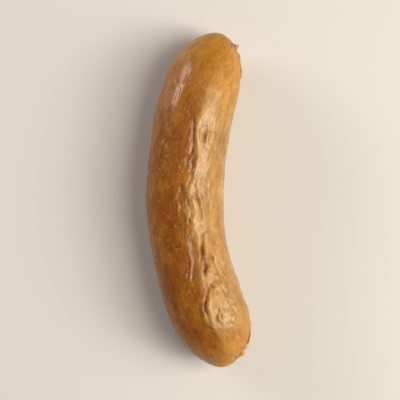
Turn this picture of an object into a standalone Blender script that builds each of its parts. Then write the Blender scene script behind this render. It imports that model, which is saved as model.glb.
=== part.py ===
"""A smoked sausage link in a natural casing, lying on its side on a flat surface.

The link is one closed solid: a bent, filled casing with lengthwise furrows along the inside of
its bend, a small flat where it rests, gathered skin at both ends, and a short dry tail of twisted
casing folded back from each end. Metres, +Z up. The link runs along Y and its hollow side faces
+X. The origin is under the middle of its bounding box, at the level that it rests on.
"""

import math
from collections import namedtuple

import bmesh
import bpy
from mathutils import Matrix, Vector

LINK_NAME = "sausage_link"

# Driving dimensions, in metres and radians.
CASING_DIAMETER = 0.0316
CASING_RADIUS = CASING_DIAMETER / 2
REST_DEPTH = 0.0007  # how far the soft underside is pressed flat by the link's own weight
END_DROOP = 0.0028  # how far the centre line sinks from the middle of a cap to its tip

# One end of the link, from the middle of the bend to the tip. The hook is the extra turn of the
# centre line towards the hollow side before the tip, and the cap is the stretch that closes.
End = namedtuple("End", "length bend_radius hook_angle hook_length cap_length cap_power")
FRONT = End(0.0716, 0.114, math.radians(15.6), 0.0098, 0.0223, 1.72)
BACK = End(0.0714, 0.164, math.radians(29.9), 0.0341, 0.0251, 1.62)

# The slow swells and waists of a hand-filled casing: height as a share of the radius, waves for
# each metre of length in radians, and where in its wave each one is at the middle of the bend.
Swell = namedtuple("Swell", "share rate start")
SWELLS = (Swell(0.012, 95.0, 0.4), Swell(0.008, 170.0, 2.0))

# Lengthwise furrows, spread over the skin from below the hollow side to past the top.
FURROW_COUNT = 7
FURROW_DEPTH = 0.00055
FURROW_WIDTH = 0.0013
FURROW_FIRST = math.radians(-30)
FURROW_LAST = math.radians(100)
FURROW_HALF_LENGTH = 0.021
FURROW_UNEVEN = 0.35  # how much longer or shorter than that a furrow can be, as a share
FURROW_UNEVEN_STEP = 1.9
FURROW_SWAY = math.radians(7)
FURROW_SWAY_RATE = 2.2
FURROW_SPREAD = 0.030  # how far along the link the furrows' middles are staggered
FURROW_SPREAD_STEP = 2.4
FURROW_SPREAD_START = 0.7

# Skin gathered into the knot at each tip.
GATHER_FOLDS = 9
GATHER_START = 0.6
GATHER_DEPTH = 0.0006
GATHER_REACH = 0.0042
DIMPLE_DEPTH = 0.0009
DIMPLE_REACH = 0.0017

# The dry tail of twisted casing folded back over the hollow side of each end.
TAIL_RADIUS = 0.00085
TAIL_REACH = 0.0135  # how far back from the tip it lies, along the centre line
TAIL_EASE = 1.7  # over 1 keeps its points close together in the knot
TAIL_LIFT = 0.00035  # height of its centre line over the skin
TAIL_POINTS = 16
TAIL_WANDER = math.radians(8)
TAIL_WANDER_RATE = 1.7
KNOT_GIRTH = 1.3  # girth at the knot, as a share of the tail's own
TAIL_TAPER = 0.55  # how much of that is lost by the loose end
TAIL_RIPPLE = 0.12
TAIL_RIPPLE_RATE = 19.0
WELD_DISTANCE = 1e-6

SEGMENTS_AROUND = 64
RINGS_ALONG = 66
END_CROWDING = 0.62  # 0 spaces the rings evenly, towards 1 crowds them at the tips
SPINE_STEP = 0.0005

SKIN_COLOUR = (0.42, 0.19, 0.055, 1.0)
SKIN_ROUGHNESS = 0.42


def smooth_bump(distance, reach):
    """A bell of height 1 that falls away over the reach."""
    return math.exp(-((distance / reach) ** 2))


def end_at(along):
    """The end that a place on the centre line belongs to: +along runs towards the back tip."""
    return BACK if along >= 0 else FRONT


def heading_at(along):
    """Direction of the centre line, turned from +Y towards +X."""
    end = end_at(along)
    distance = abs(along)
    into_hook = max(0.0, distance - (end.length - end.hook_length)) / end.hook_length
    turned = distance / end.bend_radius + end.hook_angle * into_hook**2
    return math.copysign(turned, along)


def trace_spine():
    """Points of the centre line in plan, from the middle of the bend out to each tip."""
    traced = {}
    for end, way in ((BACK, 1), (FRONT, -1)):
        steps = math.ceil(end.length / SPINE_STEP)
        step = end.length / steps
        place = Vector((0.0, 0.0))
        points = [place.copy()]
        for number in range(steps):
            heading = heading_at(way * (number + 0.5) * step)
            place += way * step * Vector((math.sin(heading), math.cos(heading)))
            points.append(place.copy())
        traced[end] = points
    return traced


SPINE = trace_spine()


def spine_at(along):
    """Point of the centre line in plan."""
    end = end_at(along)
    points = SPINE[end]
    place = min(abs(along) / end.length, 1.0) * (len(points) - 1)
    before = min(int(place), len(points) - 2)
    return points[before].lerp(points[before + 1], place - before)


def into_cap(along):
    """0 on the body of the link, rising to 1 at the tip of a cap."""
    end = end_at(along)
    return max(0.0, 1 - (end.length - abs(along)) / end.cap_length)


def radius_at(along):
    """Radius of the casing, with the slow swell and waist of a hand-filled link."""
    swell = sum(one.share * math.sin(along * one.rate + one.start) for one in SWELLS)
    rounded = 1 - into_cap(along) ** end_at(along).cap_power
    return CASING_RADIUS * (1 + swell) * math.sqrt(max(rounded, 0.0))


def furrow_depth(along, around):
    """Depth of the lengthwise furrows, each a shallow groove that sways and fades at its ends."""
    depth = 0.0
    for number in range(FURROW_COUNT):
        share = number / (FURROW_COUNT - 1)
        middle = FURROW_SPREAD * math.sin(FURROW_SPREAD_STEP * number + FURROW_SPREAD_START)
        reach = FURROW_HALF_LENGTH * (1 + FURROW_UNEVEN * math.cos(FURROW_UNEVEN_STEP * number))
        lane = FURROW_FIRST + share * (FURROW_LAST - FURROW_FIRST)
        lane += FURROW_SWAY * math.sin((along - middle) / reach * FURROW_SWAY_RATE + number)
        off = math.remainder(around - lane, math.tau) * CASING_RADIUS
        fade = smooth_bump(along - middle, reach)
        depth += FURROW_DEPTH * fade * smooth_bump(off, FURROW_WIDTH)
    return depth


def skin_direction(along, around):
    """Outward direction square to the centre line. Around is 0 at the hollow side, 90 degrees up."""
    heading = heading_at(along)
    side = Vector((math.cos(heading), -math.sin(heading), 0.0))
    return math.cos(around) * side + math.sin(around) * Vector((0.0, 0.0, 1.0))


def skin_point(along, around):
    """A point of the skin, before its ends are gathered and its underside is pressed flat."""
    plan = spine_at(along)
    height = CASING_RADIUS - REST_DEPTH - END_DROOP * into_cap(along) ** 2
    closing = 1 - into_cap(along) ** 2
    radius = radius_at(along) - closing * furrow_depth(along, around)
    return Vector((plan.x, plan.y, height)) + radius * skin_direction(along, around)


def tip_distance(along):
    """How far a place on the centre line is from the nearer tip."""
    return end_at(along).length - abs(along)


def gather_ends(bm, places):
    """Draws the skin near each tip into radial folds round a dimple."""
    bm.normal_update()
    moves = []
    for vertex in bm.verts:
        along, around = places[vertex]
        distance = tip_distance(along)
        fold = 0.5 + 0.5 * math.cos(GATHER_FOLDS * around + math.copysign(GATHER_START, along))
        near = smooth_bump(distance, GATHER_REACH)
        inward = GATHER_DEPTH * near * fold + DIMPLE_DEPTH * smooth_bump(distance, DIMPLE_REACH)
        moves.append((vertex, -inward * vertex.normal))
    for vertex, move in moves:
        vertex.co += move


def casing_mesh():
    """The filled casing: a sphere's rings drawn out along the bent centre line."""
    bm = bmesh.new()
    bmesh.ops.create_uvsphere(bm, u_segments=SEGMENTS_AROUND, v_segments=RINGS_ALONG, radius=1.0)
    length = FRONT.length + BACK.length
    places = {}
    for vertex in bm.verts:
        share = 1 - math.acos(max(-1.0, min(1.0, vertex.co.z))) / math.pi
        crowded = share - END_CROWDING * math.sin(math.tau * share) / math.tau
        along = crowded * length - FRONT.length
        around = math.atan2(vertex.co.y, vertex.co.x)
        places[vertex] = (along, around)
        vertex.co = skin_point(along, around)
    bmesh.ops.recalc_face_normals(bm, faces=bm.faces)
    gather_ends(bm, places)
    for vertex in bm.verts:
        vertex.co.z = max(vertex.co.z, 0.0)
    mesh = bpy.data.meshes.new(LINK_NAME)
    bm.to_mesh(mesh)
    bm.free()
    return mesh


def tail_point(end, way, share):
    """A point of a tail's centre line: 0 is in the knot at the tip, 1 is the loose end."""
    along = way * (end.length - TAIL_REACH * share**TAIL_EASE)
    around = TAIL_WANDER * share * math.sin(TAIL_WANDER_RATE * share * math.pi + way)
    skin = skin_point(along, around)
    inner = spine_at(way * (end.length - end.cap_length / 2))
    outward = (skin - Vector((inner.x, inner.y, skin.z))).normalized()
    return skin + TAIL_LIFT * outward


def tail_curve(end, way):
    """The dry tail of one end, as a tapering tube laid back over the hollow side."""
    curve = bpy.data.curves.new("casing_tail", "CURVE")
    curve.dimensions = "3D"
    curve.bevel_depth = TAIL_RADIUS
    curve.bevel_resolution = 2
    curve.use_fill_caps = True
    line = curve.splines.new("POLY")
    line.points.add(TAIL_POINTS - 1)
    for number, point in enumerate(line.points):
        share = number / (TAIL_POINTS - 1)
        point.co = (*tail_point(end, way, share), 1.0)
        ripple = TAIL_RIPPLE * math.sin(TAIL_RIPPLE_RATE * share)
        point.radius = KNOT_GIRTH - TAIL_TAPER * share + ripple
    return curve


def as_mesh_object(curve, collection):
    """Turns a curve into a mesh with its end caps welded on, so that a Boolean can use it."""
    source = bpy.data.objects.new("tail_source", curve)
    collection.objects.link(source)
    evaluated = source.evaluated_get(bpy.context.evaluated_depsgraph_get())
    mesh = bpy.data.meshes.new_from_object(evaluated)
    piece = bpy.data.objects.new("casing_tail", mesh)
    piece.matrix_world = source.matrix_world
    collection.objects.link(piece)
    bpy.data.objects.remove(source)
    bm = bmesh.new()
    bm.from_mesh(mesh)
    bmesh.ops.remove_doubles(bm, verts=bm.verts, dist=WELD_DISTANCE)
    bmesh.ops.recalc_face_normals(bm, faces=bm.faces)
    bm.to_mesh(mesh)
    bm.free()
    piece.hide_render = True
    piece.display_type = "WIRE"
    return piece


def fuse(link, additions):
    """Joins the additions to the link as one closed body."""
    for addition in additions:
        join = link.modifiers.new("join " + addition.name, "BOOLEAN")
        join.operation = "UNION"
        join.solver = "EXACT"
        join.object = addition
    evaluated = link.evaluated_get(bpy.context.evaluated_depsgraph_get())
    joined = bpy.data.meshes.new_from_object(evaluated)
    link.modifiers.clear()
    link.data = joined


def centre_over_origin(mesh):
    """Puts the middle of the bounding box over the origin in plan."""
    xs = [vertex.co.x for vertex in mesh.vertices]
    ys = [vertex.co.y for vertex in mesh.vertices]
    middle = Vector(((min(xs) + max(xs)) / 2, (min(ys) + max(ys)) / 2, 0.0))
    mesh.transform(Matrix.Translation(-middle))


def skin_material():
    """The plain finish of the browned casing."""
    material = bpy.data.materials.new("smoked_skin")
    material.use_nodes = True
    shader = material.node_tree.nodes["Principled BSDF"]
    shader.inputs["Base Color"].default_value = SKIN_COLOUR
    shader.inputs["Roughness"].default_value = SKIN_ROUGHNESS
    shader.inputs["Metallic"].default_value = 0.0
    material.diffuse_color = SKIN_COLOUR
    return material


def new_collection(name):
    """Adds an empty collection to the scene."""
    collection = bpy.data.collections.new(name)
    bpy.context.scene.collection.children.link(collection)
    return collection


def main():
    """Makes the link as one closed solid, centred over the origin."""
    for old in list(bpy.data.objects):
        bpy.data.objects.remove(old)
    part = new_collection("smoked_sausage_link")
    helpers = new_collection("helpers")
    link = bpy.data.objects.new(LINK_NAME, casing_mesh())
    part.objects.link(link)
    tails = [as_mesh_object(tail_curve(BACK, 1), helpers)]
    tails.append(as_mesh_object(tail_curve(FRONT, -1), helpers))
    fuse(link, tails)
    for tail in tails:
        bpy.data.objects.remove(tail)
    bpy.data.collections.remove(helpers)
    centre_over_origin(link.data)
    link.data.materials.clear()
    link.data.materials.append(skin_material())
    link.data.shade_smooth()


main()
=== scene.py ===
"""Looks of a smoked sausage link: its wrinkled browned casing, the dry tails of casing at its ends,
their finishes, and a plain studio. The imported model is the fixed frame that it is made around.
"""

import math
from collections import namedtuple

import bmesh
import bpy
from mathutils import Matrix, Vector, noise


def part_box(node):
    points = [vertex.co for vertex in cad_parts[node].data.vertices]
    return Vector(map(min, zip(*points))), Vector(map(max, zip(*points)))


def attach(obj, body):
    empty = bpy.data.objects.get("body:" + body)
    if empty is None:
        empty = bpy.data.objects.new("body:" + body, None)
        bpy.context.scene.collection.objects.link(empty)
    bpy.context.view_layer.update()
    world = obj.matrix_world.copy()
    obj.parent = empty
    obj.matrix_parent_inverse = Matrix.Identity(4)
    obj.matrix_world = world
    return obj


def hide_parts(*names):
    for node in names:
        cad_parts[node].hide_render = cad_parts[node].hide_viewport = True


bl_info = {
    "name": "Smoked Sausage Link",
    "version": (1, 0, 0),
    "blender": (4, 5, 0),
    "location": "3D View > Sidebar > Sausage",
    "description": "Makes the casing, dry casing tails and studio of a smoked sausage link",
    "category": "Mesh",
}

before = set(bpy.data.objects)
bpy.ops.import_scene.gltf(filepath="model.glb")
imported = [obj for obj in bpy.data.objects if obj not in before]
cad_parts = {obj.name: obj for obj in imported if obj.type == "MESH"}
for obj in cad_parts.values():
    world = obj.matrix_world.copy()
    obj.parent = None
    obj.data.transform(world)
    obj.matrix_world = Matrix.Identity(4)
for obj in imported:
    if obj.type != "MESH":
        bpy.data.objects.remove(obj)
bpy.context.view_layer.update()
LINK_NODE = "sausage_link"
LINK_LOW, LINK_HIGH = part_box(LINK_NODE)

# The smooth form of the link, as in the part's own source, in metres and radians.
CASING_RADIUS = 0.0158
REST_DEPTH = 0.0007
END_DROOP = 0.0028
End = namedtuple("End", "length bend_radius hook_angle hook_length cap_length cap_power")
FRONT = End(0.0716, 0.114, math.radians(15.6), 0.0098, 0.0223, 1.72)
BACK = End(0.0714, 0.164, math.radians(29.9), 0.0341, 0.0251, 1.62)
SPINE_STEP = 0.0005


# ---------------------------------------------------------------- smooth form


def smooth_bump(distance, reach):
    """A bell of height 1 that falls away over the reach."""
    return math.exp(-((distance / reach) ** 2))


def smooth_rise(value, low, high):
    """0 below low and 1 above high, with a smooth rise between them."""
    share = max(0.0, min(1.0, (value - low) / (high - low)))
    return share * share * (3 - 2 * share)


def end_at(along):
    """The end that a place on the centre line belongs to: +along runs towards the back tip."""
    return BACK if along >= 0 else FRONT


def heading_at(along):
    """Direction of the centre line, turned from +Y towards +X."""
    end = end_at(along)
    distance = abs(along)
    into_hook = max(0.0, distance - (end.length - end.hook_length)) / end.hook_length
    turned = distance / end.bend_radius + end.hook_angle * into_hook**2
    return math.copysign(turned, along)


def trace_spine():
    """Points of the centre line in plan, from the middle of the bend out to each tip."""
    traced = {}
    for end, way in ((BACK, 1), (FRONT, -1)):
        steps = math.ceil(end.length / SPINE_STEP)
        step = end.length / steps
        place = Vector((0.0, 0.0))
        points = [place.copy()]
        for number in range(steps):
            heading = heading_at(way * (number + 0.5) * step)
            place += way * step * Vector((math.sin(heading), math.cos(heading)))
            points.append(place.copy())
        traced[end] = points
    return traced


SPINE = trace_spine()


def spine_at(along):
    """Point of the centre line in plan."""
    end = end_at(along)
    points = SPINE[end]
    place = min(abs(along) / end.length, 1.0) * (len(points) - 1)
    before = min(int(place), len(points) - 2)
    return points[before].lerp(points[before + 1], place - before)


def into_cap(along):
    """0 on the body of the link, rising to 1 at the tip of a cap."""
    end = end_at(along)
    return max(0.0, 1 - (end.length - abs(along)) / end.cap_length)


def radius_at(along):
    """Radius of the casing, with the slow swell and waist of a hand-filled link."""
    swell = 0.012 * math.sin(along * 95.0 + 0.4) + 0.008 * math.sin(along * 170.0 + 2.0)
    rounded = 1 - into_cap(along) ** end_at(along).cap_power
    return CASING_RADIUS * (1 + swell) * math.sqrt(max(rounded, 0.0))


def skin_direction(along, around):
    """Outward direction square to the centre line. Around is 0 at the hollow side, 90 degrees up."""
    heading = heading_at(along)
    side = Vector((math.cos(heading), -math.sin(heading), 0.0))
    return math.cos(around) * side + math.sin(around) * Vector((0.0, 0.0, 1.0))


def skin_point(along, around):
    """A point of the smooth skin."""
    plan = spine_at(along)
    height = CASING_RADIUS - REST_DEPTH - END_DROOP * into_cap(along) ** 2
    return Vector((plan.x, plan.y, height)) + radius_at(along) * skin_direction(along, around)


def tip_distance(along):
    return end_at(along).length - abs(along)


def frame_fit():
    """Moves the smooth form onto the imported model: its outer side, its tips and its underside."""
    points = []
    for step in range(401):
        along = -FRONT.length + (FRONT.length + BACK.length) * step / 400
        points += [skin_point(along, around) for around in (0.0, math.pi)]
    lowest_x = min(point.x for point in points)
    lowest_y = min(point.y for point in points)
    highest_y = max(point.y for point in points)
    scale = (LINK_HIGH.y - LINK_LOW.y) / (highest_y - lowest_y)
    away = Matrix.Translation((-lowest_x, -lowest_y, 0.0))
    onto = Matrix.Translation((LINK_LOW.x, LINK_LOW.y, LINK_LOW.z))
    return onto @ Matrix.Scale(scale, 4) @ away


FIT = frame_fit()


# ------------------------------------------------------------------- wrinkles

# A crease listed one by one: its middle, half its length, how far it leans round the link over that
# half, and how deep and wide it is. A ridge is a crease with a depth below 0.
Crease = namedtuple("Crease", "along around half_length lean depth width")
MAIN_CREASES = (
    Crease(0.0265, math.radians(84), 0.0080, math.radians(1), 0.00075, 0.0008),
    Crease(0.0275, math.radians(68), 0.0052, math.radians(3), 0.00042, 0.0006),
    Crease(0.0110, math.radians(82), 0.0090, math.radians(-6), 0.00060, 0.0008),
    Crease(0.0045, math.radians(95), 0.0022, math.radians(0), 0.00060, 0.0008),
    Crease(0.0000, math.radians(87), 0.0040, math.radians(8), 0.00045, 0.0012),
    Crease(-0.0020, math.radians(70), 0.0110, math.radians(4), 0.00050, 0.0008),
    Crease(-0.0070, math.radians(82), 0.0030, math.radians(0), 0.00050, 0.0007),
    Crease(-0.0200, math.radians(69), 0.0055, math.radians(-6), 0.00100, 0.0008),
    Crease(-0.0290, math.radians(72), 0.0040, math.radians(-2), 0.00110, 0.0009),
    Crease(-0.0250, math.radians(57), 0.0025, math.radians(0), 0.00065, 0.0007),
    Crease(-0.0280, math.radians(42), 0.0018, math.radians(0), 0.00045, 0.0007),
    Crease(-0.0360, math.radians(47), 0.0030, math.radians(4), 0.00035, 0.0008),
    Crease(-0.0370, math.radians(69), 0.0016, math.radians(0), 0.00055, 0.0007),
    Crease(-0.0445, math.radians(88), 0.0075, math.radians(-8), 0.00080, 0.0007),
    Crease(-0.0505, math.radians(80), 0.0032, math.radians(-3), 0.00040, 0.0006),
    Crease(-0.0500, math.radians(75), 0.0028, math.radians(-3), 0.00035, 0.0006),
    Crease(-0.0530, math.radians(96), 0.0015, math.radians(0), 0.00050, 0.0008),
    Crease(-0.0645, math.radians(134), 0.0030, math.radians(-10), 0.00050, 0.0007),
    Crease(-0.0012, math.radians(102), 0.0055, math.radians(3), -0.00030, 0.0006),
    Crease(-0.0295, math.radians(95), 0.0060, math.radians(-4), -0.00034, 0.0006),
    Crease(-0.0310, math.radians(102), 0.0045, math.radians(-4), -0.00026, 0.0006),
    Crease(-0.0270, math.radians(109), 0.0030, math.radians(-4), -0.00020, 0.0006),
    Crease(0.0220, math.radians(131), 0.0016, math.radians(3), -0.00034, 0.0006),
    Crease(0.0125, math.radians(136), 0.0016, math.radians(3), -0.00034, 0.0006),
)
CREASE_ENDS = 1.7  # half lengths from its middle at which a crease has run out
CREASE_FADE = 0.8  # half lengths over which a crease grows shallow
CREASE_REACH = 8.0  # widths from a crease at which the skin is level again
CREASE_SWAY = 0.03
CREASE_STRAY = math.radians(2.2)  # how far round the link a crease strays, in short kinks
CREASE_STRAY_LENGTH = 0.0028
CREASE_UNEVEN_LENGTH = 0.0050
LIP_SHARE = 0.35  # height of the lips beside a crease, as a share of its depth
LIP_AWAY = 1.8  # widths from the bottom of a crease to the top of its lip
STEP_SHARE = 0.40  # how much higher the hollow side of a crease stands than its other side
STEP_REACH = 4.0

# The edge between the pale hollow side and the browned outer side: where it lies round the link,
# at places along it. The skin breaks there, so the hollow side stands a little higher.
# The hollow side, which faces the key light, is painted lighter: partly its own colour and partly painted
# sheen.
EDGE_PLACES = (
    (-0.072, math.radians(92)),
    (-0.058, math.radians(94)),
    (-0.050, math.radians(96)),
    (-0.038, math.radians(82)),
    (-0.027, math.radians(81)),
    (-0.013, math.radians(79)),
    (-0.003, math.radians(86)),
    (0.004, math.radians(91)),
    (0.019, math.radians(78)),
    (0.033, math.radians(86)),
    (0.050, math.radians(78)),
    (0.072, math.radians(70)),
)
EDGE_BREAK = 0.00026
EDGE_SHARPNESS = 0.0009
EDGE_REACH = 0.0048
EDGE_BLUR = math.radians(7)
EDGE_BLUR_AT_ENDS = math.radians(24)
SHARP_FRONT = -0.058  # the edge is sharp between these places along the link
SHARP_BACK = 0.034
SHARP_FADE = 0.012
# The golden back end reaches further than the front one: its extra reach is painted sheen where the
# shoulder light falls.
GOLDEN_FRONT = 0.020  # how far from each tip the casing is golden
GOLDEN_AND_SHEEN_BACK = 0.042
UNDERSIDE_EDGE = math.radians(-80)
UNDERSIDE_BLUR = math.radians(28)

# Layers of loose skin: how wide a pucker, a fold or a lump is, its length in widths, its height,
# how much of it is left where the skin is tight, and a seed.
Layer = namedtuple("Layer", "width stretch height tight seed")
FACET_WIDTH = 0.0056
FACET_STRETCH = 3.2
FACET_HEIGHT = 0.00048
FOLDS = (
    Layer(0.0040, 4.8, 0.00022, 0.12, 17.7),
    Layer(0.0018, 5.0, 0.00012, 0.42, 31.3),
)
PUCKERS = (
    Layer(0.0027, 2.6, 0.00020, 0.14, 44.9),
    Layer(0.0015, 2.4, 0.00010, 0.48, 57.1),
)
PUCKER_STEP = 0.45  # how much higher one pucker stands than the next, as a share of its height
LUMPS = (
    Layer(0.0210, 1.0, 0.00042, 1.0, 5.5),
    Layer(0.0085, 1.0, 0.00021, 1.0, 9.2),
    Layer(0.0034, 1.4, 0.00015, 1.0, 12.6),
    Layer(0.0017, 1.3, 0.00007, 1.0, 71.4),
)
WARP = 0.0028
WARP_LENGTH = 0.014
WARP_SHIFTS = (11.3, 37.9, 71.1)  # one for each axis, so that the three differ

WRINKLED_MIDDLE = math.radians(32)
WRINKLED_FRONT = -0.062
WRINKLED_BACK = 0.050
CREST = math.radians(80)  # where round the link the wrinkles are deepest
CALM_SHARE = 0.75  # how much of the wrinkles is left well away from there

# A puckered swelling: its middle along and round the link, and how far it reaches either way.
Swelling = namedtuple("Swelling", "along around reach_along reach_around strength")
SWELLINGS = (
    Swelling(-0.049, math.radians(58), 0.014, math.radians(34), 1.0),
    Swelling(0.046, math.radians(134), 0.015, math.radians(32), 1.0),
    Swelling(0.034, math.radians(50), 0.020, math.radians(28), 0.70),
)

GATHER_FOLDS = 13
GATHER_STRAY = 0.7
GATHER_DEPTH = 0.0007
GATHER_REACH = 0.0042
DIMPLE_DEPTH = 0.0009
DIMPLE_REACH = 0.0017
FULL_RELIEF = 0.0008  # height over the smooth form at which skin counts as all ridge
BLUNT_SHARE = 0.3  # 1 draws patterns out towards the tips, 0 lets them run evenly over the ends


def straightened(along, around):
    """Where a place on the skin would be if the link were a straight rod along Y with blunt ends."""
    radius = BLUNT_SHARE * CASING_RADIUS + (1 - BLUNT_SHARE) * radius_at(along)
    return Vector((radius * math.cos(around), along, radius * math.sin(around)))


def seeded(place, layer):
    """The place measured in a layer's widths, drawn out along the link and moved by its seed."""
    stretched = Vector((place.x, place.y / layer.stretch, place.z)) / layer.width
    return stretched + Vector((layer.seed, layer.seed, layer.seed))


def wrinkled_share(along, around):
    """1 on the slackest skin of the hollow side and 0 on the tight outer side and ends."""
    drift = 0.22 * noise.noise(Vector((along / 0.014, 0.3, 8.1)))
    side = smooth_rise(math.cos(around - WRINKLED_MIDDLE) + drift, 0.02, 0.42)
    front = smooth_rise(along, WRINKLED_FRONT, WRINKLED_FRONT + 0.014)
    back = 1 - smooth_rise(along, WRINKLED_BACK - 0.018, WRINKLED_BACK)
    deepest = smooth_bump(math.remainder(around - CREST, math.tau), math.radians(30))
    patchy = 0.75 + 0.8 * noise.noise(Vector((along / 0.011, around / 0.5, 2.7)))
    return side * front * back * patchy * (CALM_SHARE + (1 - CALM_SHARE) * deepest)


def swelling_share(along, around):
    """How puckered the skin is by the swellings, up to 1 in the middle of the strongest."""
    shares = []
    for one in SWELLINGS:
        aside = math.remainder(around - one.around, math.tau)
        share = smooth_bump(along - one.along, one.reach_along) * smooth_bump(aside, one.reach_around)
        shares.append(one.strength * share)
    ragged = 0.9 + 0.9 * noise.noise(Vector((along / 0.006, around / 0.45, 6.6)))
    return max(0.0, min(1.0, max(shares) * ragged))


def edge_around(along):
    """Where the edge of the pale side lies, round the link."""
    for (before, low), (after, high) in zip(EDGE_PLACES, EDGE_PLACES[1:]):
        if along <= after:
            return low + (high - low) * smooth_rise(along, before, after)
    return EDGE_PLACES[-1][1]


def ragged_edge(along, around):
    """How far round the link the edge strays from its line."""
    place = straightened(along, around)
    stretched = Vector((place.x, place.y / 3, place.z))
    return math.radians(11) * noise.noise(stretched / 0.0045)


def edge_sharpness(along):
    """1 where the edge of the pale side is sharp, 0 where it is lost towards the tips."""
    front = smooth_rise(along, SHARP_FRONT - SHARP_FADE, SHARP_FRONT)
    return front * (1 - smooth_rise(along, SHARP_BACK, SHARP_BACK + SHARP_FADE))


def pale_and_sheen_share(along, around):
    """1 on the hollow side, its own colour plus painted sheen, and 0 on the browned outer side, with a
    ragged edge between.
    """
    strayed = around + ragged_edge(along, around)
    edge = edge_around(along)
    blur = EDGE_BLUR_AT_ENDS + (EDGE_BLUR - EDGE_BLUR_AT_ENDS) * edge_sharpness(along)
    upper = 1 - smooth_rise(strayed, edge - blur, edge + blur)
    under = smooth_rise(strayed, UNDERSIDE_EDGE - UNDERSIDE_BLUR, UNDERSIDE_EDGE + UNDERSIDE_BLUR)
    return upper * under


def golden_and_sheen_share(along):
    """1 at the tips, where the casing is stretched and golden, and 0 on the body of the link. Towards the
    back tip it reaches further, partly as painted sheen.
    """
    front = 1 - smooth_rise(along, -FRONT.length, -FRONT.length + GOLDEN_FRONT)
    return max(front, smooth_rise(along, BACK.length - GOLDEN_AND_SHEEN_BACK, BACK.length))


def edge_height(along, around):
    """The break of the skin at the edge of the pale side, which stands higher than the other."""
    strayed = around + 0.5 * ragged_edge(along, around)
    away = math.remainder(strayed - edge_around(along), math.tau) * CASING_RADIUS
    patchy = max(0.0, 0.75 + 1.1 * noise.noise(Vector((along / 0.009, 5.1, 1.3))))
    fall = -math.tanh(away / EDGE_SHARPNESS) * smooth_bump(away, EDGE_REACH)
    return EDGE_BREAK * edge_sharpness(along) * patchy * fall


def main_crease_height(along, around):
    """Height of the skin in and beside the main creases, 0 where there is none."""
    height = 0.0
    for crease in MAIN_CREASES:
        place = (along - crease.along) / crease.half_length
        if abs(place) > CREASE_ENDS:
            continue
        sway = CREASE_SWAY * math.sin(3 * place + 40 * crease.depth / crease.width)
        kink = Vector((along / CREASE_STRAY_LENGTH, crease.around * 9, 3.4))
        lane = crease.around + crease.lean * place + sway + CREASE_STRAY * noise.noise(kink)
        away = math.remainder(around - lane, math.tau) * CASING_RADIUS / crease.width
        if abs(away) > CREASE_REACH:
            continue
        uneven = 1.05 + 0.7 * noise.noise(Vector((along / CREASE_UNEVEN_LENGTH, crease.around * 9, 7.9)))
        depth = crease.depth * smooth_bump(place, CREASE_FADE) * max(0.0, uneven)
        groove = math.exp(-abs(away) ** 1.4)
        lip = smooth_bump(abs(away) - LIP_AWAY, 1.0)
        step = -math.tanh(away) * smooth_bump(away, STEP_REACH)
        height += depth * (LIP_SHARE * lip + STEP_SHARE * step - groove)
    return height


def facet_height(swayed):
    """Height of the large facets of slack skin, long lozenges that meet in sharp creases."""
    stretched = Vector((swayed.x, swayed.y / FACET_STRETCH, swayed.z)) / FACET_WIDTH
    near, centres = noise.voronoi(stretched)
    pillow = min(1.0, 1.9 * (near[1] - near[0])) ** 0.6
    level = noise.cell(centres[0] * 7.3) - 0.5
    strength = 0.45 + 1.0 * noise.noise(stretched * 0.45)
    return FACET_HEIGHT * ((pillow - 1) * max(0.05, min(1.0, strength)) + 0.8 * level * pillow)


def pucker_height(swayed, share):
    """Height of the small puckers, soft pillows with sharp valleys between them."""
    height = 0.0
    for layer in PUCKERS:
        wave = noise.noise(seeded(swayed, layer))
        pillow = min(1.0, 2.6 * abs(wave)) ** 0.65
        height += layer.height * max(share, layer.tight) * (pillow - 1 + PUCKER_STEP * wave)
    return height


def fold_height(swayed, share):
    """Height of the thin raised folds, which come in patches."""
    height = 0.0
    for layer in FOLDS:
        at = seeded(swayed, layer)
        ridge = (1 - min(1.0, 3.0 * abs(noise.noise(at)))) ** 1.5
        patch = smooth_rise(noise.noise(at * 0.31), -0.15, 0.25)
        height += layer.height * max(share, layer.tight) * patch * ridge
    return height


def lump_height(place):
    """Height of the uneven filling under the skin, from its slow swellings to its coarse mince."""
    return sum(layer.height * noise.noise(seeded(place, layer)) for layer in LUMPS)


def gathered_depth(along, around):
    """How far the skin near a tip is drawn in, by the radial folds and the dimple at the knot."""
    distance = tip_distance(along)
    round_tip = Vector((math.cos(around), math.sin(around), math.copysign(1.0, along)))
    turn = around + GATHER_STRAY * noise.noise(1.7 * round_tip)
    fold = (0.5 + 0.5 * math.cos(GATHER_FOLDS * turn + math.copysign(0.6, along))) ** 1.5
    reach = GATHER_REACH * (1 + 1.1 * noise.noise(2.9 * round_tip))
    gathered = GATHER_DEPTH * math.exp(-distance / reach) * fold
    return gathered + DIMPLE_DEPTH * smooth_bump(distance, DIMPLE_REACH)


def warp_at(place):
    """How far the folds are led astray at a place, so that none of them runs straight."""
    sampled = place / WARP_LENGTH
    return WARP * Vector([noise.noise(sampled + Vector((shift,) * 3)) for shift in WARP_SHIFTS])


def skin_relief(along, around):
    """Height of the real skin over the smooth form, and -1 deep in a crease to 1 on a ridge."""
    place = straightened(along, around)
    swayed = place + warp_at(place)
    slack = wrinkled_share(along, around)
    puckered = max(slack, swelling_share(along, around))
    wrinkles = slack * facet_height(swayed)
    wrinkles += pucker_height(swayed, puckered)
    wrinkles += fold_height(swayed, slack)
    wrinkles += edge_height(along, around) + main_crease_height(along, around)
    wrinkles *= 1 - into_cap(along) ** 2
    relief = max(-1.0, min(1.0, wrinkles / FULL_RELIEF))
    return wrinkles + lump_height(place) - gathered_depth(along, around), relief


# -------------------------------------------------------------------- casing


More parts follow.
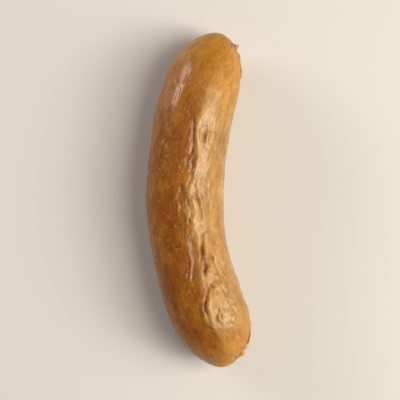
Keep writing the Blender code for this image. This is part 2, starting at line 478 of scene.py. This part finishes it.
def ring_places(count):
    """Where the rings of the casing lie along the link, evenly spaced over the skin."""
    samples = 4000
    middle = (BACK.length - FRONT.length) / 2
    half = (BACK.length + FRONT.length) / 2
    alongs = [middle - half * math.cos(math.pi * step / samples) for step in range(samples + 1)]
    covered = [0.0]
    for before, after in zip(alongs, alongs[1:]):
        rise = radius_at(after) - radius_at(before)
        covered.append(covered[-1] + math.hypot(after - before, rise))
    places = []
    reached = 0
    for number in range(count + 1):
        wanted = covered[-1] * number / count
        while covered[reached] < wanted and reached < samples:
            reached += 1
        places.append(alongs[reached])
    return places


def turn_outward(bm):
    """Turns every face outward. The normals it starts from are brought up to date first."""
    bm.normal_update()
    bmesh.ops.recalc_face_normals(bm, faces=bm.faces)
    bm.normal_update()


def casing_mesh(sizes):
    """The filled casing: a sphere's rings drawn out along the bent centre line and wrinkled."""
    bm = bmesh.new()
    rings = sizes.rings_along
    bmesh.ops.create_uvsphere(bm, u_segments=sizes.segments_around, v_segments=rings, radius=1.0)
    skin_place = bm.verts.layers.float_vector.new("skin_place")
    relief = bm.verts.layers.float.new("relief")
    pale = bm.verts.layers.float.new("pale_and_sheen_side")
    golden = bm.verts.layers.float.new("golden_end_and_sheen")
    slack = bm.verts.layers.float.new("slack")
    alongs = ring_places(rings)
    places = []
    for vertex in bm.verts:
        ring = round((1 - math.acos(max(-1.0, min(1.0, vertex.co.z))) / math.pi) * rings)
        turn = math.atan2(vertex.co.y, vertex.co.x)
        around = turn - 0.35 * math.sin(turn - WRINKLED_MIDDLE)
        places.append((alongs[ring], around))
        vertex.co = skin_point(alongs[ring], around)
    turn_outward(bm)
    for vertex, (along, around) in zip(bm.verts, places):
        height, raised = skin_relief(along, around)
        vertex.co += sizes.wrinkle_strength * height * vertex.normal
        vertex[skin_place] = straightened(along, around)
        vertex[relief] = raised
        vertex[pale] = pale_and_sheen_share(along, around)
        vertex[golden] = golden_and_sheen_share(along)
        vertex[slack] = max(wrinkled_share(along, around), swelling_share(along, around))
    bm.transform(FIT)
    for vertex in bm.verts:
        vertex.co.z = max(vertex.co.z, LINK_LOW.z)
    return finished_mesh(bm, "link_skin")


def finished_mesh(bm, name):
    """The bmesh as a smooth shaded mesh."""
    mesh = bpy.data.meshes.new(name)
    bm.to_mesh(mesh)
    bm.free()
    mesh.shade_smooth()
    return mesh


def show_piece(mesh, material):
    """Adds a piece of the link that rides on its body, stands for its node and has its finish."""
    mesh.materials.append(material)
    piece = bpy.data.objects.new(mesh.name, mesh)
    bpy.context.scene.collection.objects.link(piece)
    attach(piece, "root")
    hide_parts(LINK_NODE)
    return piece


# ---------------------------------------------------------------------- tails

TAIL_REACH = 0.0125
TAIL_WANDER = math.radians(8)
TAIL_SUNK = 0.0011  # how far inside the dimple a tail begins
TAIL_OUT = 0.10  # share of a tail at which it has come out of the dimple
KNOT_AT = 0.13  # share of a tail at which its knot is thickest
KNOT_REACH = 0.065
LEAF_AT = 0.60  # share of a tail at which its flat end is widest
LEAF_REACH = 0.30
STRAND_RADIUS = 0.00048
PLEATS = 5
TAIL_STEP = 0.02


def tail_skin(end, way, share):
    """The place on the skin under a tail: 0 is in the knot at the tip, 1 is the loose end."""
    along = way * (end.length - TAIL_REACH * share**1.7)
    around = TAIL_WANDER * share * math.sin(1.7 * share * math.pi + way)
    return along, around


def tail_frame(end, way, share):
    """A point on the skin under a tail, the way that the tail runs, and the way out of the skin."""
    before = skin_point(*tail_skin(end, way, max(0.0, share - TAIL_STEP)))
    after = skin_point(*tail_skin(end, way, min(1.0, share + TAIL_STEP)))
    along, around = tail_skin(end, way, share)
    point = skin_point(along, around)
    inner = spine_at(way * (end.length - end.cap_length / 2))
    ahead = (after - before).normalized()
    outward = point - Vector((inner.x, inner.y, point.z))
    outward = (outward - ahead * outward.dot(ahead)).normalized()
    height = skin_relief(along, around)[0]
    return point + max(height, -TAIL_SUNK) * outward, ahead, outward


def tail_section(share, sizes):
    """Half the width and half the thickness of a tail at a share of its length."""
    knot = smooth_bump(share - KNOT_AT, KNOT_REACH)
    leaf = smooth_bump(share - LEAF_AT, LEAF_REACH)
    thick = STRAND_RADIUS + (sizes.knot_radius - STRAND_RADIUS) * knot
    flat = thick - (STRAND_RADIUS - sizes.leaf_thickness / 2) * leaf
    wide = thick + (sizes.leaf_width / 2 - STRAND_RADIUS) * leaf
    closing = math.sqrt(max(0.0, 1 - abs(2 * share - 1) ** 6))
    return wide * closing, flat * closing


def tail_mesh(end, way, name, sizes):
    """A dry tail of casing: a knot in the dimple, a twisted neck and a flat, pleated loose end."""
    bm = bmesh.new()
    rings = sizes.rings
    bmesh.ops.create_uvsphere(bm, u_segments=sizes.segments, v_segments=rings, radius=1.0)
    tail_place = bm.verts.layers.float_vector.new("skin_place")
    frames = [tail_frame(end, way, number / rings) for number in range(rings + 1)]
    for vertex in bm.verts:
        ring = round((1 - math.acos(max(-1.0, min(1.0, vertex.co.z))) / math.pi) * rings)
        turn = math.atan2(vertex.co.y, vertex.co.x)
        share = ring / rings
        point, ahead, outward = frames[ring]
        side = ahead.cross(outward)
        wide, flat = tail_section(share, sizes)
        twist = sizes.twist * (1 - smooth_rise(share, 0.0, 0.5))
        pleats = 1 + 0.16 * math.cos(PLEATS * turn + 11 * share)
        torn = noise.noise(Vector((2.2 * math.cos(turn), 2.2 * math.sin(turn), 15 * share + 3 * way)))
        across = wide * pleats * (1 + 0.35 * torn) * math.cos(turn)
        out = flat * pleats * (1 + 0.25 * torn) * math.sin(turn)
        curl = sizes.leaf_curl * (across / sizes.leaf_width) ** 2 * math.sin(7 * share + 2 * way)
        lift = flat * 0.55 * smooth_rise(share, 0.0, TAIL_OUT) + curl
        across, out = (
            across * math.cos(twist) - out * math.sin(twist),
            across * math.sin(twist) + out * math.cos(twist),
        )
        vertex.co = point + across * side + (lift + out) * outward
        vertex[tail_place] = Vector((wide * math.cos(turn), share * TAIL_REACH, flat * math.sin(turn)))
    turn_outward(bm)
    bm.transform(FIT)
    for vertex in bm.verts:
        vertex.co.z = max(vertex.co.z, LINK_LOW.z)
    return finished_mesh(bm, name)


# ----------------------------------------------------------------- materials

GRAIN_MIDDLE = 0.5
GRAIN_SHARE = 0.18  # how much the fine grain adds to the height of the fibres
NETWORK_SHARE = 0.9  # how much the fine creases add to it
SKIN_BUMP = 0.00014
TAIL_BUMP = 0.00006


def add_node(tree, kind, name, inputs=None, **settings):
    """Adds a node with its settings. An input is given a value, or a socket to be fed by."""
    made = tree.nodes.new(kind)
    made.name = name
    made.label = name
    for key, value in settings.items():
        setattr(made, key, value)
    for key, value in (inputs or {}).items():
        if isinstance(value, bpy.types.NodeSocket):
            tree.links.new(value, made.inputs[key])
        else:
            made.inputs[key].default_value = value
    return made


def mixed(tree, name, amount, first, second, blend="MIX"):
    """The colour socket of a mix from the first colour to the second."""
    inputs = {0: amount, 6: first, 7: second}
    made = add_node(tree, "ShaderNodeMix", name, inputs, data_type="RGBA", blend_type=blend)
    return made.outputs[2]


def ranged(tree, name, value, low, high, to_low=0.0, to_high=1.0):
    """A value moved smoothly from one range to another."""
    inputs = {0: value, 1: low, 2: high, 3: to_low, 4: to_high}
    made = add_node(tree, "ShaderNodeMapRange", name, inputs, interpolation_type="SMOOTHSTEP")
    return made.outputs[0]


def computed(tree, name, operation, *values):
    """The result of a sum on values or sockets."""
    inputs = dict(enumerate(values))
    return add_node(tree, "ShaderNodeMath", name, inputs, operation=operation).outputs[0]


def stretched_place(tree, name, place, scale):
    """A place scaled along each axis, so that what reads it is drawn out along the link."""
    inputs = {"Vector": place, "Scale": scale}
    return add_node(tree, "ShaderNodeMapping", name, inputs).outputs[0]


def noise_socket(tree, name, place, scale, detail=3.0, roughness=0.55):
    """Smooth noise from 0 to 1, about as many patches to the metre as the scale says."""
    inputs = {"Vector": place, "Scale": scale, "Detail": detail, "Roughness": roughness}
    return add_node(tree, "ShaderNodeTexNoise", name, inputs).outputs[0]


def attribute(tree, name, output):
    """A value that the piece's mesh holds at each point."""
    return add_node(tree, "ShaderNodeAttribute", name, attribute_name=name).outputs[output]


def shader_of(material):
    """The material's Principled shader."""
    return material.node_tree.nodes["Principled BSDF"]


def new_material(name):
    """A material with nodes."""
    material = bpy.data.materials.new(name)
    material.use_nodes = True
    return material


def voronoi_cells(tree, name, place, scale, feature="F1"):
    """A node of cells, about as many to the metre as the scale says."""
    inputs = {"Vector": place, "Scale": scale}
    return add_node(tree, "ShaderNodeTexVoronoi", name, inputs, feature=feature)


def strayed_place(tree, place, scale, reach):
    """A place moved a little by noise, so that what reads it has uneven outlines."""
    inputs = {"Vector": place, "Scale": scale, "Detail": 4.0, "Roughness": 0.6}
    wander = add_node(tree, "ShaderNodeTexNoise", "wander", inputs).outputs["Color"]
    inputs = {0: wander, 1: (0.5, 0.5, 0.5)}
    wander = add_node(tree, "ShaderNodeVectorMath", "about zero", inputs, operation="SUBTRACT").outputs[0]
    inputs = {0: wander, 1: (reach, reach, reach), 2: place}
    moved = add_node(tree, "ShaderNodeVectorMath", "strayed", inputs, operation="MULTIPLY_ADD")
    return moved.outputs[0]


def casing_grain_group():
    """The shader group of the grain that all casing shows: a tone and a height over its surface."""
    group = bpy.data.node_groups.new("casing_grain", "ShaderNodeTree")
    group.interface.new_socket("Place", in_out="INPUT", socket_type="NodeSocketVector")
    for name in ("Grains per Metre", "Fibres per Metre", "Contrast"):
        group.interface.new_socket(name, in_out="INPUT", socket_type="NodeSocketFloat")
    for name in ("Tone", "Height"):
        group.interface.new_socket(name, in_out="OUTPUT", socket_type="NodeSocketFloat")
    given = group.nodes.new("NodeGroupInput").outputs
    result = group.nodes.new("NodeGroupOutput").inputs
    grain = noise_socket(group, "fine grain", given["Place"], given["Grains per Metre"], 2.0, 0.6)
    drawn_out = stretched_place(group, "drawn out along the link", given["Place"], (1.0, 0.22, 1.0))
    fibres = noise_socket(group, "fibres", drawn_out, given["Fibres per Metre"], 3.0, 0.6)
    level = computed(group, "grain about zero", "SUBTRACT", grain, GRAIN_MIDDLE)
    tone = computed(group, "tone", "MULTIPLY_ADD", level, given["Contrast"], 1.0)
    height = computed(group, "fibres and grain", "MULTIPLY_ADD", grain, GRAIN_SHARE, fibres)
    group.links.new(tone, result["Tone"])
    group.links.new(height, result["Height"])
    return group


def casing_grain(tree, place, grains, fibres, contrast):
    """The tone and the height of the casing's grain, from the shared group."""
    group = bpy.data.node_groups.get("casing_grain") or casing_grain_group()
    inputs = {
        "Place": place,
        "Grains per Metre": grains,
        "Fibres per Metre": fibres,
        "Contrast": contrast,
    }
    made = tree.nodes.new("ShaderNodeGroup")
    made.node_tree = group
    made.name = made.label = "casing grain"
    tree.links.new(inputs.pop("Place"), made.inputs["Place"])
    for name, value in inputs.items():
        made.inputs[name].default_value = value
    return made.outputs["Tone"], made.outputs["Height"]


def minced_meat(tree, colours, colour, place):
    """The colour with the coarse filling showing faintly through: pale fat and dark lean."""
    grains = noise_socket(tree, "grains of meat", place, 640.0, 3.0, 0.65)
    fat = ranged(tree, "fat", grains, 0.54, 0.78, 0.0, 0.55)
    colour = mixed(tree, "fat showing", fat, colour, colours.ridge)
    lean = ranged(tree, "lean", grains, 0.46, 0.24, 0.0, 0.36)
    return mixed(tree, "lean showing", lean, colour, colours.reddish)


def dark_specks(tree, colours, colour, strayed):
    """The colour with uneven dark specks in a few places."""
    cells = voronoi_cells(tree, "specks", strayed, 330.0).outputs
    channels = add_node(tree, "ShaderNodeSeparateColor", "speck channels", {0: cells["Color"]}).outputs
    size = ranged(tree, "speck size", channels[1], 0.0, 1.0, 0.06, 0.24)
    inside = computed(tree, "inside a speck", "SUBTRACT", size, cells["Distance"])
    inside = ranged(tree, "soft speck", inside, 0.0, 0.16)
    chosen = ranged(tree, "some specks", channels[0], 0.60, 0.85, 0.0, 0.50)
    amount = computed(tree, "chosen specks", "MULTIPLY", inside, chosen)
    return mixed(tree, "dark specks", amount, colour, colours.speck)


def skin_colour(tree, colours, place, long_place, blotches, grain_tone):
    """The colour of the skin: smoke, meat, specks and grain, then painted highlight on ridges and painted
    shade in creases.
    """
    relief = attribute(tree, "relief", "Fac")
    pale = attribute(tree, "pale_and_sheen_side", "Fac")
    tip = attribute(tree, "golden_end_and_sheen", "Fac")
    strayed = strayed_place(tree, place, 420.0, 0.0022)

    smoke = ranged(tree, "smoke in blotches", blotches, 0.34, 0.64)
    colour = mixed(tree, "browned or golden", smoke, colours.golden, colours.browned)
    # Painted sheen: the hollow side, facing the key light, is painted lighter, partly its own colour and
    # partly sheen of that light.
    pale_and_sheen_amount = computed(tree, "paler side", "MULTIPLY", pale, 0.85)
    colour = mixed(tree, "tan on the hollow side", pale_and_sheen_amount, colour, colours.tan)

    # Lighter patches on the hollow side only, partly its own colour and partly painted sheen.
    worn = noise_socket(tree, "hollow side patches", long_place, 150.0, 4.0, 0.65)
    worn = ranged(tree, "palest patches", worn, 0.48, 0.68, 0.0, 0.60)
    worn = computed(tree, "patches only on the hollow side", "MULTIPLY", worn, pale)
    colour = mixed(tree, "pale patches and sheen", worn, colour, colours.ridge)

    red = noise_socket(tree, "reddish patches", long_place, 190.0, 4.0, 0.6)
    red = ranged(tree, "only the strongest", red, 0.50, 0.72, 0.0, 0.55)
    colour = mixed(tree, "reddish", red, colour, colours.reddish)
    # Golden ends: the stretched tips' own colour, and at the back end partly painted sheen of the shoulder
    # light.
    ends = computed(tree, "golden at the ends", "MULTIPLY", tip, 0.75)
    colour = mixed(tree, "golden ends", ends, colour, colours.ends)

    mottle = noise_socket(tree, "mottle", long_place, 330.0, 5.0, 0.72)
    mottle = ranged(tree, "mottle to tone", mottle, 0.30, 0.70, 0.79, 1.18)
    colour = mixed(tree, "mottled", 1.0, colour, mottle, "MULTIPLY")
    colour = minced_meat(tree, colours, colour, place)
    colour = dark_specks(tree, colours, colour, strayed)
    colour = mixed(tree, "grain", 1.0, colour, grain_tone, "MULTIPLY")

    # Painted highlight: skin raised above the smooth form is painted toward the ridge colour, where ridges
    # catch the light.
    raised = ranged(tree, "on a ridge", relief, 0.05, 0.55, 0.0, 0.45)
    colour = mixed(tree, "painted ridge highlight", raised, colour, colours.ridge)
    # Painted shade: skin deep in a crease is painted darker, for the shade that falls there.
    crease_shade = ranged(tree, "deep in a crease", relief, -0.30, -1.0, 0.0, 0.85)
    return mixed(tree, "painted crease shade", crease_shade, colour, colours.crease)


def fine_creases(tree, strayed):
    """Height of a fine network of creases in slack skin, too small to model."""
    drawn_out = stretched_place(tree, "network drawn out", strayed, (1.0, 0.42, 1.0))
    edges = voronoi_cells(tree, "fine network", drawn_out, 760.0, "DISTANCE_TO_EDGE")
    pillow = ranged(tree, "fine pillows", edges.outputs["Distance"], 0.0, 0.30)
    slack = attribute(tree, "slack", "Fac")
    amount = ranged(tree, "where slack", slack, 0.05, 0.6, 0.35, 1.0)
    return computed(tree, "fine creases", "MULTIPLY", pillow, amount)


def skin_material(colours):
    """Browned casing: mottled, golden at the ends with painted sheen at the back, lighter on the wrinkled
    side with painted sheen, painted highlight on ridges, painted shade in creases.
    """
    material = new_material("smoked_skin")
    tree = material.node_tree
    shader = shader_of(material)
    place = attribute(tree, "skin_place", "Vector")
    long_place = stretched_place(tree, "drawn out along the link", place, (1.0, 0.45, 1.0))
    blotches = noise_socket(tree, "blotches", long_place, 120.0, 6.0, 0.72)
    tone, height = casing_grain(tree, place, 1300.0, 620.0, 0.34)
    colour = skin_colour(tree, colours, place, long_place, blotches, tone)
    tree.links.new(colour, shader.inputs["Base Color"])

    rough_noise = noise_socket(tree, "gloss patches", long_place, 160.0, 3.0, 0.6)
    rough = ranged(tree, "gloss", rough_noise, 0.3, 0.7, 0.26, 0.46)
    tree.links.new(rough, shader.inputs["Roughness"])
    slack = attribute(tree, "slack", "Fac")
    slack = computed(tree, "slack in patches", "MULTIPLY_ADD", rough_noise, 0.6, slack)
    greasy = ranged(tree, "greasy where slack", slack, 0.30, 1.2, 0.12, 0.72)
    tree.links.new(greasy, shader.inputs["Coat Weight"])
    network = fine_creases(tree, strayed_place(tree, place, 420.0, 0.0022))
    height = computed(tree, "creases over grain", "MULTIPLY_ADD", network, NETWORK_SHARE, height)
    bump = add_node(tree, "ShaderNodeBump", "skin bump", {"Distance": SKIN_BUMP, "Height": height})
    tree.links.new(bump.outputs[0], shader.inputs["Normal"])

    shader.inputs["Coat Roughness"].default_value = 0.24
    shader.inputs["IOR"].default_value = 1.45
    shader.inputs["Specular IOR Level"].default_value = 0.31
    shader.inputs["Specular Tint"].default_value = (1.0, 0.78, 0.50, 1.0)
    shader.inputs["Subsurface Weight"].default_value = 0.12
    shader.inputs["Subsurface Radius"].default_value = (0.0030, 0.0012, 0.0005)
    shader.inputs["Subsurface Scale"].default_value = 1.0
    return material


def tail_material(colours):
    """Dry casing: pale and papery, a little browned in patches."""
    material = new_material("dry_casing")
    tree = material.node_tree
    shader = shader_of(material)
    place = attribute(tree, "skin_place", "Vector")
    tone, height = casing_grain(tree, place, 2600.0, 1900.0, 0.5)
    patches = noise_socket(tree, "patches", place, 420.0, 3.0, 0.6)
    patches = ranged(tree, "browned patches", patches, 0.45, 0.75, 0.0, 0.7)
    colour = mixed(tree, "papery", patches, colours.dry, colours.dry_browned)
    colour = mixed(tree, "grain", 1.0, colour, tone, "MULTIPLY")
    tree.links.new(colour, shader.inputs["Base Color"])
    rough = ranged(tree, "dull where browned", patches, 0.0, 0.7, 0.34, 0.55)
    tree.links.new(rough, shader.inputs["Roughness"])
    bump = add_node(tree, "ShaderNodeBump", "dry bump", {"Distance": TAIL_BUMP, "Height": height})
    tree.links.new(bump.outputs[0], shader.inputs["Normal"])
    shader.inputs["Subsurface Weight"].default_value = 0.3
    shader.inputs["Subsurface Radius"].default_value = (0.0015, 0.0010, 0.0006)
    shader.inputs["Subsurface Scale"].default_value = 1.0
    return material


def floor_material(colour):
    """A plain pale floor, very faintly uneven in tone."""
    material = new_material("pale_floor")
    tree = material.node_tree
    shader = shader_of(material)
    place = add_node(tree, "ShaderNodeTexCoord", "place").outputs["Object"]
    tone = noise_socket(tree, "faint clouds", place, 3.0, 2.0, 0.5)
    tone = ranged(tree, "clouds to tone", tone, 0.3, 0.7, 0.985, 1.0)
    colour = mixed(tree, "paper", 1.0, colour, tone, "MULTIPLY")
    tree.links.new(colour, shader.inputs["Base Color"])
    shader.inputs["Roughness"].default_value = 0.8
    return material


# -------------------------------------------------------------------- studio

FLOOR_HALF = 3.0
FLOOR_GAP = 0.0001
SHOWN_SHARE = 0.84  # share of the picture's height that the link fills


def soft_light(name, place, size, power, colour):
    """A soft rectangular light that points at the link and isn't seen itself."""
    light = bpy.data.lights.new(name, "AREA")
    light.shape = "RECTANGLE"
    light.size, light.size_y = size
    light.energy = power
    light.color = colour
    lamp = bpy.data.objects.new(name, light)
    lamp.location = place
    lamp.rotation_euler = (-Vector(place)).to_track_quat("-Z", "Y").to_euler()
    lamp.visible_camera = False
    bpy.context.scene.collection.objects.link(lamp)


def make_floor(colour):
    """The pale floor that the link lies on, which isn't part of it."""
    bm = bmesh.new()
    bmesh.ops.create_grid(bm, x_segments=1, y_segments=1, size=FLOOR_HALF)
    bmesh.ops.translate(bm, verts=bm.verts, vec=(0.0, 0.0, LINK_LOW.z - FLOOR_GAP))
    mesh = bpy.data.meshes.new("floor")
    bm.to_mesh(mesh)
    bm.free()
    mesh.materials.append(floor_material(colour))
    floor = bpy.data.objects.new("floor", mesh)
    bpy.context.scene.collection.objects.link(floor)


def make_lights(studio):
    """A broad warm key light with a small bright one for glints, and one over the shoulder."""
    warm = (1.0, 0.92, 0.77)
    cool = (1.0, 0.94, 0.93)
    soft_light("key", (0.68, -0.05, 0.75), (0.58, 0.95), studio.key_power, warm)
    soft_light("key glint", (0.74, -0.16, 0.62), (0.10, 0.24), studio.key_glint_power, warm)
    soft_light("shoulder", (-0.96, 0.66, 0.42), (0.62, 0.26), studio.shoulder_power, cool)


def make_world(strength):
    """Even warm light from all round."""
    world = bpy.data.worlds.new("studio")
    world.use_nodes = True
    background = world.node_tree.nodes["Background"]
    background.inputs["Color"].default_value = (1.0, 0.93, 0.83, 1.0)
    background.inputs["Strength"].default_value = strength
    bpy.context.scene.world = world


def make_camera(lens):
    """A camera straight above the link, which runs up the picture."""
    middle = (LINK_LOW + LINK_HIGH) / 2
    camera_data = bpy.data.cameras.new("camera")
    camera_data.lens = lens
    camera_data.clip_start = 0.01
    camera = bpy.data.objects.new("camera", camera_data)
    shown = (LINK_HIGH.y - LINK_LOW.y) / SHOWN_SHARE
    distance = shown * lens / camera_data.sensor_width
    camera.location = (middle.x, middle.y, LINK_HIGH.z / 2 + distance)
    bpy.context.scene.collection.objects.link(camera)
    bpy.context.scene.camera = camera


# ----------------------------------------------------------------- the add-on


def colour_property(name, description, default):
    """A colour that the panel shows."""
    return bpy.props.FloatVectorProperty(
        name=name,
        description=description,
        default=(*default, 1.0),
        subtype="COLOR",
        size=4,
        min=0.0,
        max=1.0,
    )


def length_property(name, description, default):
    """A length in metres that the panel shows."""
    return bpy.props.FloatProperty(
        name=name,
        description=description,
        default=default,
        min=0.0,
        unit="LENGTH",
        subtype="DISTANCE",
        precision=5,
    )


def power_property(name, description, default):
    """A light's power in watts that the panel shows."""
    return bpy.props.FloatProperty(
        name=name, description=description, default=default, min=0.0, unit="POWER"
    )


def count_property(name, description, default):
    """A number of faces or rings that the panel shows."""
    return bpy.props.IntProperty(name=name, description=description, default=default, min=8)


class CasingSizes(bpy.types.PropertyGroup):
    """Sizes of the wrinkled casing"""

    wrinkle_strength: bpy.props.FloatProperty(
        name="Wrinkle strength",
        description="Height of every wrinkle and lump, as a share of the usual",
        default=1.0,
        min=0.0,
        subtype="FACTOR",
    )
    segments_around: count_property("Segments around", "Faces round the casing", 280)
    rings_along: count_property("Rings along", "Rings of faces along the casing", 350)


class TailSizes(bpy.types.PropertyGroup):
    """Sizes of the dry tails of casing"""

    knot_radius: length_property("Knot radius", "Half the width of the knot in the dimple", 0.00130)
    leaf_width: length_property("Leaf width", "Width of the flat loose end", 0.0023)
    leaf_thickness: length_property("Leaf thickness", "Thickness of the flat loose end", 0.00045)
    leaf_curl: length_property("Leaf curl", "How far the edges of the loose end lift", 0.00120)
    twist: bpy.props.FloatProperty(
        name="Twist", description="Turn of the neck between knot and leaf", default=6.5, subtype="ANGLE"
    )
    segments: count_property("Segments", "Faces round a tail", 40)
    rings: count_property("Rings", "Rings of faces along a tail", 130)


class LinkColours(bpy.types.PropertyGroup):
    """Colours of the casing, the tails and the floor"""

    browned: colour_property("Browned skin", "Smoked skin on the outer side", (0.250, 0.068, 0.0046))
    golden: colour_property("Golden skin", "Paler patches between the browned ones", (0.38, 0.140, 0.0115))
    # Painted sheen: the hollow side's colour, partly its own and partly painted sheen of the key light.
    tan: colour_property("Tan skin", "Skin of the wrinkled hollow side", (0.51, 0.275, 0.078))
    reddish: colour_property("Reddish patches", "Where the meat shows through", (0.32, 0.075, 0.013))
    # Painted sheen: towards the back tip this golden colour partly stands for the shoulder light's sheen.
    ends: colour_property("Golden ends", "Skin stretched over the ends", (0.55, 0.250, 0.032))
    speck: colour_property("Dark specks", "Small spots of darker meat", (0.15, 0.043, 0.005))
    # Painted highlight: this colour paints raised ridges lighter where they catch the light; it also tints
    # fat showing through and the pale patches of the hollow side.
    ridge: colour_property("Ridges", "Skin worn pale on a ridge", (0.66, 0.37, 0.11))
    # Painted shade: the darker colour painted deep in creases, where shade falls.
    crease: colour_property("Creases", "Skin deep in a crease", (0.23, 0.066, 0.007))
    dry: colour_property("Dry casing", "The tails of dry casing", (0.66, 0.42, 0.19))
    dry_browned: colour_property("Browned dry casing", "Browned patches of the tails", (0.46, 0.235, 0.065))
    floor: colour_property("Floor", "The floor under the link", (0.76, 0.755, 0.76))


class StudioSettings(bpy.types.PropertyGroup):
    """The lights and the camera"""

    key_power: power_property("Key power", "Power of the broad key light", 10.9)
    key_glint_power: power_property("Key glint power", "Power of the small light inside it", 1.1)
    shoulder_power: power_property("Shoulder power", "Power of the light over the shoulder", 6.3)
    world_strength: bpy.props.FloatProperty(
        name="World strength", description="Brightness of the light from all round", default=0.18, min=0.0
    )
    lens: bpy.props.FloatProperty(
        name="Lens",
        description="Focal length of the camera",
        default=120.0,
        min=1.0,
        unit="CAMERA",
        subtype="DISTANCE_CAMERA",
    )


class SAUSAGE_OT_casing(bpy.types.Operator):
    """Make the wrinkled casing of the link"""

    bl_idname = "sausage.casing"
    bl_label = "Make Casing"

    def execute(self, context):
        """Makes the casing."""
        mesh = casing_mesh(context.scene.casing_sizes)
        show_piece(mesh, skin_material(context.scene.link_colours))
        return {"FINISHED"}


class SAUSAGE_OT_tails(bpy.types.Operator):
    """Make the dry tail of casing at each end"""

    bl_idname = "sausage.tails"
    bl_label = "Make Tails"

    def execute(self, context):
        """Makes both tails."""
        material = tail_material(context.scene.link_colours)
        for end, way, name in ((BACK, 1, "casing_tail_back"), (FRONT, -1, "casing_tail_front")):
            show_piece(tail_mesh(end, way, name, context.scene.tail_sizes), material)
        return {"FINISHED"}


class SAUSAGE_OT_studio(bpy.types.Operator):
    """Make the pale floor, the soft lights and the camera"""

    bl_idname = "sausage.studio"
    bl_label = "Make Studio"

    def execute(self, context):
        """Makes the stage."""
        studio = context.scene.sausage_studio
        make_floor(context.scene.link_colours.floor)
        make_lights(studio)
        make_world(studio.world_strength)
        make_camera(studio.lens)
        context.scene.view_settings.view_transform = "Standard"
        return {"FINISHED"}


class SAUSAGE_PT_panel(bpy.types.Panel):
    """Lists the sizes, the colours and what makes each piece"""

    bl_label = "Smoked Sausage Link"
    bl_idname = "SAUSAGE_PT_panel"
    bl_space_type = "VIEW_3D"
    bl_region_type = "UI"
    bl_category = "Sausage"

    def draw(self, context):
        """Lists each group of settings, then the operators."""
        for holder, kind in SETTINGS:
            box = self.layout.box()
            for name in kind.__annotations__:
                box.prop(getattr(context.scene, holder), name)
        for maker in MAKERS:
            self.layout.operator(maker.bl_idname)


SETTINGS = (
    ("casing_sizes", CasingSizes),
    ("tail_sizes", TailSizes),
    ("link_colours", LinkColours),
    ("sausage_studio", StudioSettings),
)
MAKERS = (SAUSAGE_OT_casing, SAUSAGE_OT_tails, SAUSAGE_OT_studio)
CLASSES = (*(kind for holder, kind in SETTINGS), *MAKERS, SAUSAGE_PT_panel)


def register():
    """Registers the classes and gives the scene its settings."""
    for one in CLASSES:
        bpy.utils.register_class(one)
    for holder, kind in SETTINGS:
        setattr(bpy.types.Scene, holder, bpy.props.PointerProperty(type=kind))


def unregister():
    """Takes the settings and the classes away again."""
    for holder, kind in reversed(SETTINGS):
        delattr(bpy.types.Scene, holder)
    for one in reversed(CLASSES):
        bpy.utils.unregister_class(one)


def main():
    """Makes the link and its studio."""
    register()
    bpy.ops.sausage.casing()
    bpy.ops.sausage.tails()
    bpy.ops.sausage.studio()


if __name__ == "__main__":
    main()
